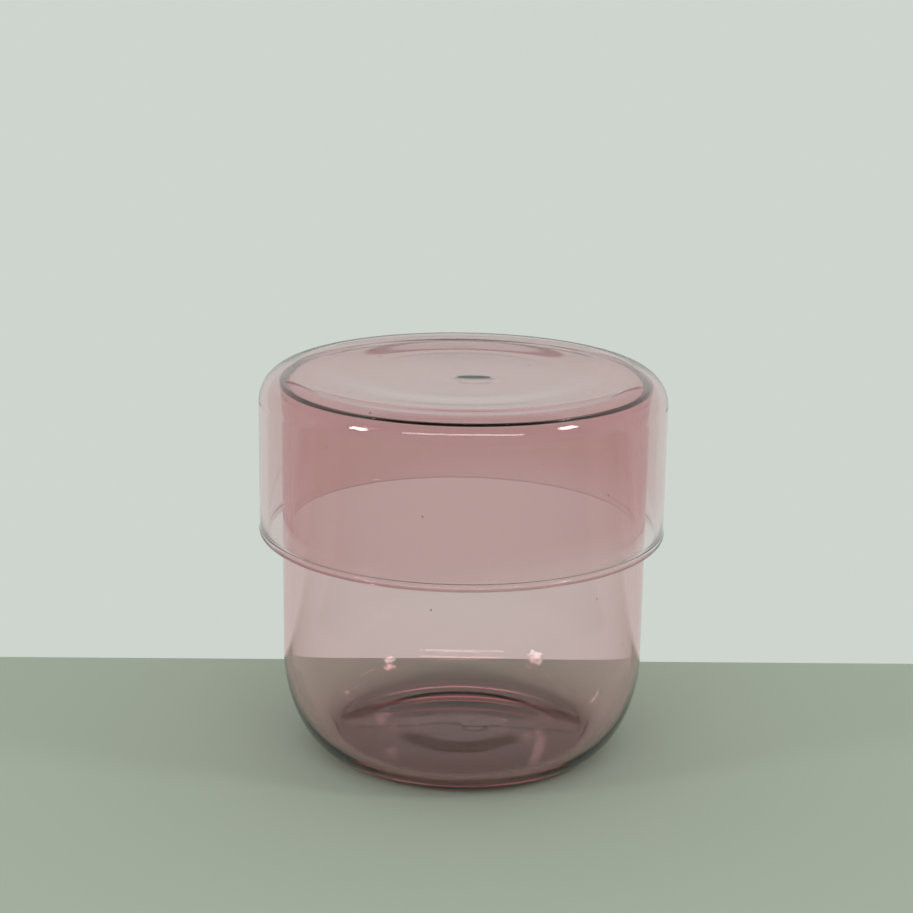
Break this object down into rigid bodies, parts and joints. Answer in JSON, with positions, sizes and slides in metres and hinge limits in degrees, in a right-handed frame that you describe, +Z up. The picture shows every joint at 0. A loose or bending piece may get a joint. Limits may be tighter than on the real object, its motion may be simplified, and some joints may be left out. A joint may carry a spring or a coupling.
{
  "type": "glass canister",
  "caption": "Clear pink-tinted glass canister: a straight-walled jar with a rounded heel, closed by a dished glass cap whose skirt drops over the mouth.",
  "frame": {"origin": "middle of the jar's foot, on the table", "axes": "+Z up along the jar's axis, -Y towards the viewer"},
  "size_m": [0.1004, 0.1004, 0.0965],
  "materials": {
    "jar_glass": "clear pink-tinted borosilicate glass, blown and fire polished",
    "lid_glass": "clear pink-tinted borosilicate glass, paler towards the lower rim, blown and fire polished"
  },
  "bodies": {
    "root": {"jar": "jar_glass", "lid": "lid_glass"}
  },
  "joints": []
}
